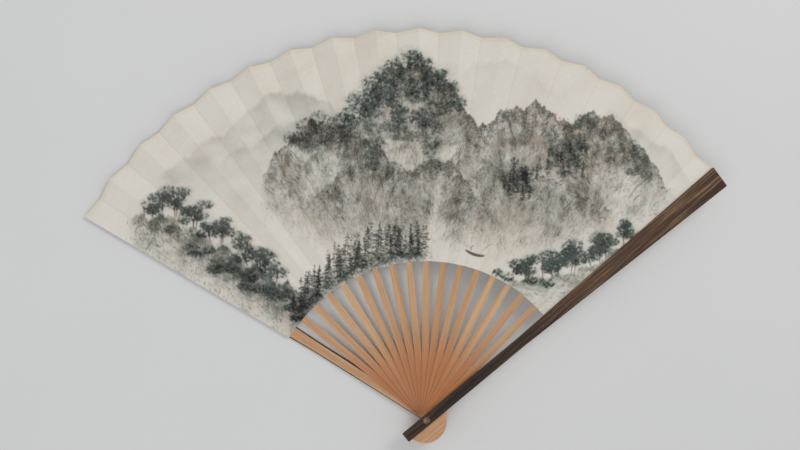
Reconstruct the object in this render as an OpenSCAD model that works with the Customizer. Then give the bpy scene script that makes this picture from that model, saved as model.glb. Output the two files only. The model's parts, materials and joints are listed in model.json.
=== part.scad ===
// Folding hand fan, lying open on its back guard with its painted face up.
// The rivet's axis is Z and the fan is symmetric about +Y. The sticks are
// stacked along Z, from the back guard at the left to the front guard at the
// right. Every stick is drawn along +X with its straight side towards +Y, and
// is then turned to its own place round the rivet.

/* [Opening] */
// Number of ribs between the two guards
rib_count = 16; // [10:1:16]
// Angle from one guard to the other, in degrees
open_angle = 108; // [90:1:130]

/* [Leaf] */
// Distance from the rivet to the outer peaks of the leaf
leaf_peak_r = 315; // [250:1:380]
// How much nearer to the rivet the outer valleys lie
scallop = 2.5; // [0:0.1:5]
// Distance from the rivet to the inner edge of the leaf
leaf_inner_r = 128; // [105:1:160]
// Thickness of the leaf's paper
paper_t = 0.2; // [0.1:0.05:0.25]
// Half the height of the pleats beside the guards, at the peaks
end_relief = 1.5; // [0.8:0.1:2]
// Half the height of the pleats at the middle of the leaf, at the peaks
mid_relief = 3; // [2:0.1:4]
// How much each pleat's half height may differ from the next one's
relief_step = 0.25; // [0.1:0.05:0.3]
// Gap left on each side of a crease
crease_gap = 0.15; // [0.1:0.05:0.4]

/* [Ribs] */
// Width of a rib between the head and the leaf
rib_w = 5.8; // [5:0.1:8]
// Thickness of a rib between the head and the leaf
rib_t = 0.9; // [0.8:0.05:1.4]
// Free gap between one stick and the next
stick_gap = 0.1; // [0.05:0.05:0.3]
// Width of the thin tongue that carries the leaf
tongue_w = 5; // [3.5:0.1:6]
// Thickness of the tongue
tongue_t = 0.35; // [0.2:0.05:0.4]
// How far the tongue stops short of the leaf's valleys
tongue_short = 9; // [4:1:30]
// Length over which a rib thins and twists into its tongue
twist_len = 20; // [10:1:40]

/* [Head] */
// Radius of the round cheek at the foot of every stick
head_r = 17.5; // [14:0.1:20]
// How far the cheek's centre lies beyond the rivet
head_back = 1.5; // [0:0.1:3]
// How far the cheek's centre lies towards its round side
head_side = 1; // [0:0.1:3]
// Radius of the inside corner between the cheek and the stick
neck_r = 4; // [2:0.1:8]

/* [Guards] */
// Width of a guard from its tail to where it starts to widen
guard_head_w = 8.8; // [7:0.1:12]
// How far inside the leaf's inner edge a guard starts to widen
flare_inside = 28; // [10:1:60]
// How far a guard's edges stand out past its panel of the leaf, at the peaks
guard_margin = 1.2; // [0.5:0.1:4]
// Length of a guard beyond the rivet
guard_tail = 22; // [20:0.5:26]
// How far a guard reaches past the leaf's peaks
guard_over = 0.5; // [0:0.5:8]
// Thickness of a guard at the rivet
guard_head_t = 4; // [3.6:0.1:6]
// How much more a guard thins under the leaf than the pleat beside it needs
guard_room = 0.1; // [0.1:0.1:0.4]
// Thickness of a guard's dark facing
facing_t = 1.5; // [1:0.1:1.8]
// How far a guard's bamboo core lies inside the edges of its facing
core_inset = 1; // [0.2:0.1:1.1]
// How far the core stops short of the leaf's valleys
core_short = 0.5; // [0.5:0.5:4]
// Distance from the rivet at which a guard starts to thin
thin_start = 30; // [25:1:50]
// How far inside the leaf's inner edge a guard has thinned
thin_inside = 16; // [4:1:30]

/* [Rivet] */
// Radius of the rivet's pin
pin_r = 1.6; // [1.2:0.1:2.2]
// Radial clearance of the sticks and caps on the rivet
pin_clearance = 0.05; // [0.02:0.01:0.1]
// Radius of the rivet's caps
cap_r = 3; // [2.6:0.1:4]
// Depth of a cap's seat in a facing
cap_depth = 0.8; // [0.5:0.1:0.9]
// Height of the front cap's dome above the facing
dome_h = 0.6; // [0.2:0.1:1.2]

/* [Hidden] */
$fn = 64;
lap = 1;                                // how far a rib's twist runs into its blade and its tongue
inset = 0.01;                           // how much smaller the twist's ends are than what they run into
twist_steps = 10;                       // number of lengths that a rib's twist is made of
front = rib_count + 1;                  // number of the front guard, the back guard being 0
step_angle = open_angle / front;        // angle from one stick to the next
half_panel = step_angle / 4;            // half the angle that one panel of the leaf covers
leaf_valley_r = leaf_peak_r - scallop;
pitch = rib_t + stick_gap;              // distance from one rib to the next along the rivet
guard_end_r = leaf_peak_r + guard_over;
front_z = guard_head_t + rib_count * pitch + stick_gap;    // underside of the front guard's head
top_z = front_z + guard_head_t;                            // upper face of the front guard
guard_end_w = 2 * (leaf_peak_r * tan(half_panel) + guard_margin);
guard_thinning = end_relief + guard_room;
guard_leaf_t = guard_head_t - guard_thinning;              // thickness of a guard under the leaf
thin_end = leaf_inner_r - thin_inside;
flare_start = leaf_inner_r - flare_inside;
twist_start = leaf_inner_r - twist_len;
tongue_end = leaf_valley_r - tongue_short;
bore_r = pin_r + pin_clearance;
seat_r = cap_r + pin_clearance;
dome_r = (cap_r * cap_r + dome_h * dome_h) / (2 * dome_h); // radius of the sphere the dome is cut from

bamboo = [0.78, 0.60, 0.40];
pale_bamboo = [0.84, 0.68, 0.48];
dark_wood = [0.27, 0.16, 0.09];
paper = [0.86, 0.83, 0.76];
paper_shade = [0.78, 0.75, 0.68];
horn = [0.45, 0.28, 0.14];

function two_digits(n) = n < 10 ? str("0", n) : str(n);
function rib_name(k) = str("rib_", two_digits(k));
function panel_name(k) = str("leaf_panel_", two_digits(k));
function fold_name(k) = str("leaf_fold_", two_digits(k));

// Direction of a stick round the rivet, counted from +X
function stick_angle(k) = 90 + open_angle / 2 - k * step_angle;
// Height of a rib's middle plane
function rib_z(k) = guard_head_t + stick_gap + rib_t / 2 + (k - 1) * pitch;
// Half the height of a stick's own panel at the peaks; the guards' panels lie flat
function relief(k) =
    k == 0 || k == front ? 0 : min(mid_relief, end_relief + relief_step * (min(k, front - k) - 1));
// Tilt of a stick's panel about the stick
function tilt(k) = asin(relief(k) / (leaf_peak_r * sin(half_panel)));
// Height of the paper's underside on a stick's own line
function panel_z(k) =
    k == 0 ? guard_leaf_t : k == front ? front_z + guard_thinning - paper_t : rib_z(k);
function mix(a, b, s) = a + (b - a) * s;
// A point at radius r, direction a and height z
function polar(r, a, z) = [r * cos(a), r * sin(a), z];

// Turns a stick from +X to its own place round the rivet
module at_stick(k) {
    rotate([0, 0, stick_angle(k)]) children();
}

module rivet_bore(height) {
    translate([0, 0, -height]) cylinder(r = bore_r, h = 3 * height);
}

// The round cheek at the foot of a stick: straight on its +Y side, which lies
// straight_y from the rivet, and blended into the stick's edge at -edge_y
module cheek(straight_y, edge_y) {
    neck_y = -edge_y - neck_r;
    neck_x = sqrt(pow(head_r + neck_r, 2) - pow(neck_y + head_side, 2)) - head_back;
    intersection() {
        translate([-head_back, -head_side]) circle(r = head_r, $fn = 96);
        translate([-2 * head_r, -2 * head_r]) square([4 * head_r, 2 * head_r + straight_y]);
    }
    difference() {
        polygon([[-head_back, -head_side], [neck_x, neck_y], [neck_x, -edge_y], [0, -edge_y]]);
        translate([neck_x, neck_y]) circle(r = neck_r);
    }
}

// A guard's strip seen from above, even in width from its tail to the leaf and
// then widening to end_r. Its tail and long edges lie inside the guard's by inset.
module guard_strip(inset, end_r) {
    head_y = guard_head_w / 2 - inset;
    end_y = mix(guard_head_w, guard_end_w, (end_r - flare_start) / (guard_end_r - flare_start)) / 2 - inset;
    polygon([
        [inset - guard_tail, -head_y], [flare_start, -head_y], [end_r, -end_y],
        [end_r, end_y], [flare_start, head_y], [inset - guard_tail, head_y]
    ]);
}

// A guard's bamboo core, with its outer face on Z = 0 and its inner face up
module guard_core() {
    core_t = guard_head_t - facing_t;
    difference() {
        linear_extrude(core_t) {
            guard_strip(core_inset, leaf_valley_r - core_short);
            cheek(guard_head_w / 2 - core_inset, guard_head_w / 2 - core_inset);
        }
        translate([0, guard_end_w, 0]) rotate([90, 0, 0]) linear_extrude(2 * guard_end_w)
            polygon([
                [thin_start, core_t], [thin_end, core_t - guard_thinning],
                [guard_end_r + 1, core_t - guard_thinning], [guard_end_r + 1, core_t + 1],
                [thin_start, core_t + 1]
            ]);
        rivet_bore(core_t);
    }
}

// A guard's dark facing, with its outer face and the seat of a cap on Z = 0
module guard_facing() {
    difference() {
        linear_extrude(facing_t) guard_strip(0, guard_end_r);
        rivet_bore(facing_t);
        translate([0, 0, -1]) cylinder(r = seat_r, h = cap_depth + 1);
    }
}

module back_guard_facing() {
    color(dark_wood) at_stick(0) guard_facing();
}

module back_guard() {
    color(pale_bamboo) at_stick(0) translate([0, 0, facing_t]) guard_core();
}

// The front guard is the back guard's mirror image along Z
module front_guard() {
    color(pale_bamboo) at_stick(front) translate([0, 0, top_z - facing_t]) mirror([0, 0, 1]) guard_core();
}

module front_guard_facing() {
    color(dark_wood) at_stick(front) translate([0, 0, top_z]) mirror([0, 0, 1]) guard_facing();
}

// The four corners of a rib's section in its twist, at the share s of its length
function twist_section(k, s) = let (
    x = mix(twist_start - lap, leaf_inner_r - lap, s),
    half_w = mix(rib_w, tongue_w, s) / 2 - inset,
    low = mix(-rib_t / 2, -tongue_t, s) + inset,
    high = mix(rib_t / 2, 0, s) - inset,
    turn = tilt(k) * s
) [
    for (c = [[-half_w, low], [half_w, low], [half_w, high], [-half_w, high]])
        [x, c[0] * cos(turn) - c[1] * sin(turn), c[0] * sin(turn) + c[1] * cos(turn)]
];

// The length of a rib that thins and turns from its flat blade to its tilted tongue
module rib_twist(k) {
    last = 4 * twist_steps;
    polyhedron(
        points = [for (i = [0:twist_steps], p = twist_section(k, i / twist_steps)) p],
        faces = concat(
            [[0, 1, 2], [0, 2, 3], [last, last + 2, last + 1], [last, last + 3, last + 2]],
            [for (i = [0:twist_steps - 1], c = [0:3]) let (n = (c + 1) % 4) [4 * i + c, 4 * i + 4 + c, 4 * i + n]],
            [for (i = [0:twist_steps - 1], c = [0:3]) let (n = (c + 1) % 4) [4 * i + 4 + c, 4 * i + 4 + n, 4 * i + n]]
        )
    );
}

// A rib: a flat blade with its cheek, then a twist, then the tongue under the leaf
module rib(k) {
    color(bamboo) at_stick(k) translate([0, 0, rib_z(k)]) {
        difference() {
            translate([0, 0, -rib_t / 2]) linear_extrude(rib_t) {
                translate([0, -rib_w / 2]) square([twist_start, rib_w]);
                cheek(rib_w / 2, rib_w / 2);
            }
            rivet_bore(rib_t);
        }
        rib_twist(k);
        rotate([tilt(k), 0, 0])
            translate([leaf_inner_r - 2 * lap, -tongue_w / 2, -tongue_t])
                cube([tongue_end - leaf_inner_r + 2 * lap, tongue_w, tongue_t]);
    }
}

// The panel of the leaf that is glued to stick k, from its mountain crease at
// the +Y side down to its valley crease at the -Y side
module leaf_panel(k) {
    half = atan(tan(half_panel) / cos(tilt(k)));
    color(paper) at_stick(k) translate([0, 0, panel_z(k)]) rotate([tilt(k), 0, 0])
        linear_extrude(paper_t) polygon([
            leaf_inner_r * [cos(half), -sin(half)], leaf_valley_r * [cos(half), -sin(half)],
            leaf_peak_r * [cos(half), sin(half)], leaf_inner_r * [cos(half), sin(half)]
        ]);
}

// The loose panel between sticks k - 1 and k, from the valley crease of the
// first up to the mountain crease of the second
module leaf_fold(k) {
    valley_a = stick_angle(k - 1) - half_panel;
    peak_a = stick_angle(k) + half_panel;
    // each corner's angle in from its crease and the height of the paper there
    corners = [
        for (c = [
            [leaf_inner_r, valley_a, -1, k - 1], [leaf_valley_r, valley_a, -1, k - 1],
            [leaf_peak_r, peak_a, 1, k], [leaf_inner_r, peak_a, 1, k]
        ])
            polar(c[0], c[1] + c[2] * atan(crease_gap / c[0]),
                  panel_z(c[3]) + c[2] * relief(c[3]) * c[0] / leaf_peak_r)
    ];
    color(paper_shade) polyhedron(
        points = concat(corners, [for (p = corners) p + [0, 0, paper_t]]),
        faces = [
            [0, 1, 2], [0, 2, 3], [4, 6, 5], [4, 7, 6],
            [0, 5, 1], [0, 4, 5], [1, 6, 2], [1, 5, 6],
            [2, 7, 3], [2, 6, 7], [3, 4, 0], [3, 7, 4]
        ]
    );
}

// The pin runs from the back cap to the front cap
module rivet_pin() {
    color(horn) translate([0, 0, cap_depth]) cylinder(r = pin_r, h = top_z - 2 * cap_depth);
}

// The back cap is flush with the face the fan lies on
module rivet_cap_back() {
    color(horn) cylinder(r = cap_r, h = cap_depth - pin_clearance);
    color(horn) cylinder(r = pin_r, h = cap_depth);
}

module rivet_cap_front() {
    color(horn) translate([0, 0, top_z - cap_depth]) {
        cylinder(r = pin_r, h = cap_depth);
        translate([0, 0, pin_clearance]) cylinder(r = cap_r, h = cap_depth - pin_clearance);
        intersection() {
            translate([0, 0, cap_depth]) cylinder(r = cap_r, h = dome_h);
            translate([0, 0, cap_depth + dome_h - dome_r]) sphere(r = dome_r, $fn = 96);
        }
    }
}

back_guard_facing();
back_guard();
front_guard();
front_guard_facing();
for (k = [1:rib_count]) rib(k);
for (k = [0:front]) leaf_panel(k);
for (k = [1:front]) leaf_fold(k);
rivet_pin();
rivet_cap_back();
rivet_cap_front();
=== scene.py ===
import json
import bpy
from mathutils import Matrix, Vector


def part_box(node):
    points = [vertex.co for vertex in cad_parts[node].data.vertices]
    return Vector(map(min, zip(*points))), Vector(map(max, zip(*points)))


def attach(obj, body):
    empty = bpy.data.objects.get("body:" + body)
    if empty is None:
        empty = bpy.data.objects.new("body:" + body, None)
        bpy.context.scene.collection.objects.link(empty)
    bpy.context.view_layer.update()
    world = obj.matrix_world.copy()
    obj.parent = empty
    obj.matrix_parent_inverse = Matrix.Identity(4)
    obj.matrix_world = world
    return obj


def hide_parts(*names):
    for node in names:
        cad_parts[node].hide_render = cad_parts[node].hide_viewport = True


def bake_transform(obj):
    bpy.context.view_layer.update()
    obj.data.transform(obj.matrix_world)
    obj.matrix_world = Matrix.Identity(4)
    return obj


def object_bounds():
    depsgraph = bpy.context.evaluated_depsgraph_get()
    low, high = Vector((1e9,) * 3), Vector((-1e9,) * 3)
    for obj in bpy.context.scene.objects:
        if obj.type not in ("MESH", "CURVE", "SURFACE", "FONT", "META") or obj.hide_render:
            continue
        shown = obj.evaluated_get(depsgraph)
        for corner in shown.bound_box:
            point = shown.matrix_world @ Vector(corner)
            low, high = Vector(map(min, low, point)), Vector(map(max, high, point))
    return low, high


bl_info = {
    "name": "Folding Hand Fan",
    "version": (1, 0, 0),
    "blender": (4, 5, 0),
    "location": "3D View > Sidebar > Hand Fan",
    "description": "Builds the pleated paper leaf, bamboo sticks, dark guards and rivet of a folding fan",
    "category": "Object",
}

import bmesh
import bpy
import numpy as np
from mathutils import Vector

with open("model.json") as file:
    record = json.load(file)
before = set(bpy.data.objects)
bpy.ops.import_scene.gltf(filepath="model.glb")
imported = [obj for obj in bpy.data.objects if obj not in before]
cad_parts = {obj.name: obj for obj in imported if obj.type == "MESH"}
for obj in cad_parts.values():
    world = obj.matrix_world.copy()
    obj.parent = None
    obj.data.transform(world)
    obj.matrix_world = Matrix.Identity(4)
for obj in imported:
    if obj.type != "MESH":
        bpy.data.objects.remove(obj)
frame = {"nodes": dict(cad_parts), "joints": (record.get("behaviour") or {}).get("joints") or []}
CAD_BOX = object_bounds()


# ---------------------------------------------------------------- the frame

def node_points(name):
    """Every corner of a CAD node, in metres, as rows of x, y and z."""
    mesh = frame["nodes"][name].data
    flat = np.empty(len(mesh.vertices) * 3, np.float32)
    mesh.vertices.foreach_get("co", flat)
    return flat.reshape(-1, 3).astype(float)


def node_span(name, axis):
    """Lowest and highest place of a CAD node along one axis, in metres."""
    low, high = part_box(name)
    return low[axis], high[axis]


FRONT = len(frame["joints"])
STEP = np.radians(frame["joints"][0]["range_deg"][1])
RIBS = range(1, FRONT)
BODIES = ["back_guard"] + [f"rib_{k:02d}" for k in RIBS] + ["front_guard"]

_first = node_points("leaf_panel_00")
_radius = np.hypot(_first[:, 0], _first[:, 1])
_angle = np.arctan2(_first[:, 1], _first[:, 0])
FIRST_ANGLE = (_angle.min() + _angle.max()) / 2
HALF_PANEL = STEP / 4
LEAF_INNER = _radius.min()
LEAF_PEAK = _radius.max()
LEAF_VALLEY = _radius[_angle < FIRST_ANGLE].max()
PAPER = np.ptp(_first[:, 2])


def stick_angle(k):
    """Direction of stick k round the rivet: the back guard's, less one step for each stick."""
    return FIRST_ANGLE - k * STEP


def pleat(k):
    """Height of panel k's underside on its stick, and half its pleat's height at the peaks."""
    low, high = node_span(f"leaf_panel_{k:02d}", 2)
    share = LEAF_VALLEY / LEAF_PEAK
    half = max((high - low - PAPER) / (1 + share), 0.0)
    return low + half * share, half


def pleat_tilt(k):
    """Angle by which panel k is tilted about its stick."""
    return float(np.arcsin(pleat(k)[1] / (LEAF_PEAK * np.sin(HALF_PANEL))))


# ---------------------------------------------------------------- the settings

def paint_colour(red, green, blue):
    """A screen colour from 0 to 255, as the linear numbers that Blender keeps."""
    share = np.array([red, green, blue]) / 255
    linear = np.where(share <= 0.04045, share / 12.92, ((share + 0.055) / 1.055) ** 2.4)
    return tuple(float(c) for c in linear)


def length(name, description, default):
    """A property that holds a length, in metres."""
    return bpy.props.FloatProperty(
        name=name, description=description, default=default, subtype="DISTANCE", unit="LENGTH", precision=5)


def colour(name, description, default):
    """A property that holds a linear colour."""
    return bpy.props.FloatVectorProperty(
        name=name, description=description, default=default, subtype="COLOR", size=3, min=0.0, max=1.0)


class FanLeafSettings(bpy.types.PropertyGroup):
    """Sizes and colours of the paper leaf."""

    across: bpy.props.IntProperty(
        name="Cells Across", description="Cells across one panel of the leaf", default=28)
    along: bpy.props.IntProperty(
        name="Cells Along", description="Cells along one panel, from the inner edge to the rim", default=330)
    wave: length("Waviness", "How far the paper swells between two creases", 0.00006)
    ghost: length("Stick Ghost", "How far a stick's tongue lifts the front of the leaf", 0.00005)
    tongue_half: length("Tongue Half Width", "Half the width of the tongue between the leaf's plies", 0.0025)
    tongue_depth: length("Tongue Depth", "How far the back ply stands out over a tongue", 0.00034)
    rim: length("Rim Band", "Width of the paper strip that binds the outer edge", 0.0028)
    hem: length("Hem", "How far the leaf stands out past the back guard's edge", 0.00015)
    rim_rise: length("Rim Rise", "How far the binding strip stands above the leaf", 0.00007)
    paper: colour("Paper", "Colour of the bare paper", paint_colour(221, 216, 207))
    aged_and_shade: colour("Aged Paper", "Colour of the paper where it has yellowed", paint_colour(208, 198, 181))
    binding: colour("Binding", "Colour of the strip along the rim", paint_colour(218, 206, 180))


class FanPaintingSettings(bpy.types.PropertyGroup):
    """The ink landscape on the leaf."""

    seed: bpy.props.IntProperty(
        name="Seed", description="Number that every brush stroke's chance starts from", default=11)
    cell: length("Cell", "Size of one cell of the grid the landscape is painted on", 0.0004)
    turn: bpy.props.FloatProperty(
        name="Turn", description="Angle of the landscape's level to the fan's own", default=np.radians(3.4),
        subtype="ANGLE", unit="ROTATION")


class FanStickSettings(bpy.types.PropertyGroup):
    """Sizes and colours of the ribs and guards that the frame doesn't hold."""

    cheek: length("Cheek", "Radius of the round cheek at the foot of a stick", 0.0175)
    cheek_back: length("Cheek Back", "How far the cheek's centre lies beyond the rivet", 0.0015)
    cheek_side: length("Cheek Side", "How far the cheek's centre lies towards its round side", 0.001)
    neck: length("Neck", "Radius of the inside corner between the cheek and the stick", 0.004)
    twist: length("Twist", "Length over which a rib thins and turns into its tongue", 0.020)
    tongue_half: length("Tongue Half Width", "Half the width of a rib's tongue", 0.0025)
    tongue_deep: length("Tongue Depth", "How far a tongue reaches below the leaf", 0.0003)
    thin_start: length("Thin Start", "Distance from the rivet at which a guard starts to thin", 0.030)
    thin_inside: length("Thin Inside", "How far inside the leaf a guard has thinned", 0.016)
    back_short: length("Back Shortening", "How far the back facing ends short, hidden by the leaf", 0.0033)
    flare_inside: length("Flare Inside", "How far inside the leaf a guard starts to widen", 0.028)
    guard_corner: length("Guard Corner", "Radius of the corners at a guard's ends", 0.0011)
    edge: length("Rib Edge", "Radius of a rib's rounded edges", 0.00025)
    guard_edge: length("Guard Edge", "Radius of a guard's rounded edges", 0.00055)
    crown: length("Crown", "How far a stick's faces swell between their edges", 0.00006)
    bamboo: colour("Rib Bamboo", "Colour of the ribs", paint_colour(216, 182, 142))
    bamboo_dark: colour("Rib Fibres", "Colour of the darker fibres in the ribs", paint_colour(184, 142, 100))
    pale: colour("Guard Bamboo", "Colour of the guards' bamboo", paint_colour(218, 186, 148))
    pale_dark: colour("Guard Fibres", "Colour of the darker fibres in the guards", paint_colour(180, 138, 96))
    facing: colour("Facing", "Colour of the dark wood facings", paint_colour(66, 46, 34))
    facing_light: colour(
        "Facing Streaks", "Colour of the light streaks in the facings", paint_colour(142, 110, 80))


class FanRivetSettings(bpy.types.PropertyGroup):
    """Colours of the rivet."""

    horn: colour("Horn", "Colour of the horn caps", paint_colour(120, 78, 44))
    horn_dark: colour("Horn Veins", "Colour of the veins in the horn", paint_colour(62, 36, 18))


class FanStageSettings(bpy.types.PropertyGroup):
    """The floor, the lights and the camera."""

    floor: length("Floor", "Length of the floor's sides", 6.0)
    floor_colour: colour("Floor Colour", "Colour of the floor", paint_colour(214, 214, 213))
    camera_place: bpy.props.FloatVectorProperty(
        name="Camera Place", description="Where the camera stands", default=(-0.1048, 0.1998, 0.7321),
        subtype="TRANSLATION", unit="LENGTH", size=3)
    camera_turn: bpy.props.FloatVectorProperty(
        name="Camera Turn", description="How the camera is turned", size=3, subtype="EULER", unit="ROTATION",
        default=(np.radians(-2.95), np.radians(-7.39), np.radians(-2.56)))
    lens: bpy.props.FloatProperty(
        name="Lens", description="Focal length of the camera", default=40.5, subtype="DISTANCE_CAMERA")
    key: bpy.props.FloatProperty(
        name="Key Light", description="Power of the large light at the upper right", default=8.0,
        subtype="POWER")
    fill: bpy.props.FloatProperty(
        name="Fill Light", description="Power of the light overhead", default=8.0, subtype="POWER")
    sky: bpy.props.FloatProperty(
        name="Sky", description="Strength of the light from all round", default=0.53)


SETTINGS = {
    "fan_leaf": FanLeafSettings,
    "fan_painting": FanPaintingSettings,
    "fan_sticks": FanStickSettings,
    "fan_rivet": FanRivetSettings,
    "fan_stage": FanStageSettings,
}


# ---------------------------------------------------------------- meshes

def mix(a, b, share):
    """From a to b by share."""
    return a + (b - a) * share


def smooth(low, high, value):
    """0 up to low, 1 from high, and an even S between: 3 s squared less 2 s cubed."""
    s = np.clip((value - low) / (high - low), 0.0, 1.0)
    return s * s * (3.0 - 2.0 * s)


def grid_faces(rows, columns, start=0, closed=False):
    """Four-sided faces of a grid whose point (i, j) is number start + i * columns + j."""
    i = np.arange(rows - 1)[:, None]
    j = np.arange(columns if closed else columns - 1)[None, :]
    here = start + i * columns + j
    beside = start + i * columns + (j + 1) % columns
    return np.stack([here, beside, beside + columns, here + columns], -1).reshape(-1, 4)


def volume(points, faces):
    """Volume inside closed four-sided faces: the sum of a . (b x c) / 6 over their triangles."""
    a, b, c, d = (points[faces[:, n]] for n in range(4))
    first = np.einsum("ij,ij->i", a, np.cross(b, c))
    second = np.einsum("ij,ij->i", a, np.cross(c, d))
    return float((first + second).sum() / 6)


def make_piece(name, points, faces, attributes, material, merge=False):
    """Puts points, faces and attributes into a new object at the origin, with its faces outward."""
    if volume(points, faces) < 0:
        faces = faces[:, ::-1]
    mesh = bpy.data.meshes.new(name)
    mesh.vertices.add(len(points))
    mesh.vertices.foreach_set("co", points.astype(np.float32).ravel())
    mesh.loops.add(faces.size)
    mesh.loops.foreach_set("vertex_index", faces.astype(np.int32).ravel())
    mesh.polygons.add(len(faces))
    mesh.polygons.foreach_set("loop_start", np.arange(0, faces.size, 4, dtype=np.int32))
    mesh.polygons.foreach_set("use_smooth", np.ones(len(faces), bool))
    mesh.update(calc_edges=True)
    for title, kind, values in attributes:
        layer = mesh.attributes.new(title, kind, "POINT")
        field = "color" if kind == "FLOAT_COLOR" else "vector"
        layer.data.foreach_set(field, values.astype(np.float32).ravel())
    if merge:
        shape = bmesh.new()
        shape.from_mesh(mesh)
        bmesh.ops.remove_doubles(shape, verts=shape.verts, dist=1e-7)
        bmesh.ops.dissolve_degenerate(shape, edges=shape.edges, dist=1e-8)
        shape.to_mesh(mesh)
        shape.free()
    mesh.validate()
    mesh.set_sharp_from_angle(angle=np.radians(50))
    mesh.materials.append(material)
    piece = bpy.data.objects.new(name, mesh)
    bpy.context.scene.collection.objects.link(piece)
    return piece


# ---------------------------------------------------------------- materials

class Finish:
    """A node material under construction."""

    def __init__(self, name):
        self.material = bpy.data.materials.new(name)
        self.material.use_nodes = True
        self.tree = self.material.node_tree
        self.shader = self.tree.nodes["Principled BSDF"]

    def node(self, kind, settings=None, **inputs):
        """Adds a node. Inputs are numbers, colours or other nodes' sockets, named with _ for a space."""
        made = self.tree.nodes.new(kind)
        for key, value in (settings or {}).items():
            setattr(made, key, value)
        for key, value in inputs.items():
            self.put(made.inputs[key.replace("_", " ")], value)
        return made

    def put(self, socket, value):
        """Links a socket, or sets the input's own value."""
        if isinstance(value, bpy.types.NodeSocket):
            self.tree.links.new(value, socket)
        elif hasattr(value, "__len__") and len(value) == 3 and socket.type == "RGBA":
            socket.default_value = (*value, 1.0)
        else:
            socket.default_value = value

    def read(self, name, field="Vector"):
        """One of the piece's own attributes."""
        return self.node("ShaderNodeAttribute", {"attribute_name": name}).outputs[field]

    def stretch(self, vector, scale):
        """The vector with each part multiplied."""
        return self.node("ShaderNodeMapping", Vector=vector, Scale=scale).outputs["Vector"]

    def noise(self, vector, scale, detail=3.0, roughness=0.5):
        """Fractal noise round 0.5."""
        return self.node("ShaderNodeTexNoise", Vector=vector, Scale=scale, Detail=detail,
                         Roughness=roughness).outputs["Fac"]

    def span(self, value, from_low, from_high, to_low=0.0, to_high=1.0):
        """A number carried evenly from one range to another, and held at its ends."""
        made = self.node("ShaderNodeMapRange", {"interpolation_type": "SMOOTHSTEP"}, Value=value)
        for key, number in (("From Min", from_low), ("From Max", from_high), ("To Min", to_low),
                            ("To Max", to_high)):
            made.inputs[key].default_value = number
        return made.outputs["Result"]

    def sum(self, operation, a, b):
        """One step of arithmetic on two numbers."""
        made = self.tree.nodes.new("ShaderNodeMath")
        made.operation = operation
        self.put(made.inputs[0], a)
        self.put(made.inputs[1], b)
        return made.outputs[0]

    def blend(self, share, a, b, kind="MIX"):
        """Colour a turned towards colour b by share."""
        made = self.tree.nodes.new("ShaderNodeMix")
        made.data_type = "RGBA"
        made.blend_type = kind
        self.put(made.inputs[0], share)
        self.put(made.inputs[6], a)
        self.put(made.inputs[7], b)
        return made.outputs[2]

    def part(self, vector, axis):
        """One part of a vector."""
        return self.node("ShaderNodeSeparateXYZ", Vector=vector).outputs[axis]

    def bump(self, height, distance, strength=1.0):
        """A surface that rises by distance where height is 1."""
        dent = self.node("ShaderNodeBump", Height=height, Distance=distance, Strength=strength)
        return dent.outputs["Normal"]

    def done(self, **inputs):
        """Sets the shader's own inputs and gives the material."""
        for key, value in inputs.items():
            self.put(self.shader.inputs[key.replace("_", " ")], value)
        return self.material


def paper_finish(leaf):
    """Ink on fan paper: fibres, foxing and granulated paint, a bound rim, rubbed mountain creases, and painted
    shade darkening the valley creases.
    """
    f = Finish("fan_paper")
    at = f.read("paper_at")
    edges = f.read("edges")
    paint = f.read("paint", "Color")
    to_peak = f.part(edges, "X")
    to_valley = f.part(edges, "Y")
    to_rim = f.part(edges, "Z")
    age = f.noise(at, 22.0, 4.0, 0.6)
    base = f.blend(f.span(age, 0.42, 0.72, 0.0, 0.55), leaf.paper, leaf.aged_and_shade)
    fibres = f.noise(f.stretch(at, (260.0, 1900.0, 1.0)), 1.0, 4.0, 0.65)
    cross_fibres = f.noise(f.stretch(at, (1700.0, 300.0, 1.0)), 1.0, 4.0, 0.65)
    mesh = f.sum("MULTIPLY", fibres, cross_fibres)
    base = f.blend(f.span(mesh, 0.16, 0.36, 0.16, 0.0), base, leaf.aged_and_shade, "MULTIPLY")
    grains = f.noise(at, 1500.0, 3.0, 0.7)
    pools = f.noise(at, 120.0, 3.0, 0.6)
    load = f.sum("ADD", f.span(grains, 0.3, 0.7, 1.02, 1.50), f.span(pools, 0.3, 0.7, -0.14, 0.14))
    rub = f.sum("MULTIPLY", f.span(to_peak, 0.0, 0.0009, 0.35, 0.0), f.span(grains, 0.35, 0.6))
    load = f.sum("SUBTRACT", load, rub)
    ink = f.node("ShaderNodeGamma", Color=paint, Gamma=load).outputs["Color"]
    shade = f.blend(1.0, base, ink, "MULTIPLY")
    # Painted shade: the paper is darkened along each valley crease, as shade in the folds.
    valley = f.span(to_valley, 0.0001, 0.0011, 0.16, 0.0)
    shade = f.blend(valley, shade, leaf.aged_and_shade, "MULTIPLY")
    ragged = f.sum("ADD", to_rim, f.span(pools, 0.3, 0.7, -0.00025, 0.00025))
    band = f.span(ragged, leaf.rim - 0.00015, leaf.rim + 0.00015, 1.0, 0.0)
    strip = f.blend(f.span(age, 0.4, 0.7, 0.0, 0.5), leaf.binding, leaf.aged_and_shade)
    strip = f.blend(f.span(mesh, 0.16, 0.36, 0.25, 0.0), strip, leaf.aged_and_shade, "MULTIPLY")
    shade = f.blend(f.sum("MULTIPLY", band, 0.5), shade, strip)
    shade = f.blend(f.span(to_rim, 0.0, 0.0006, 0.35, 0.0), shade, leaf.aged_and_shade, "MULTIPLY")
    relief = f.sum("ADD", mesh, f.sum("MULTIPLY", grains, 0.25))
    rough = f.span(mesh, 0.15, 0.4, 0.86, 0.74)
    return f.done(Base_Color=shade, Roughness=rough, Normal=f.bump(relief, 0.00006, 0.5),
                  Specular_IOR_Level=0.28, Sheen_Weight=0.08, Sheen_Roughness=0.6)


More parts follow.
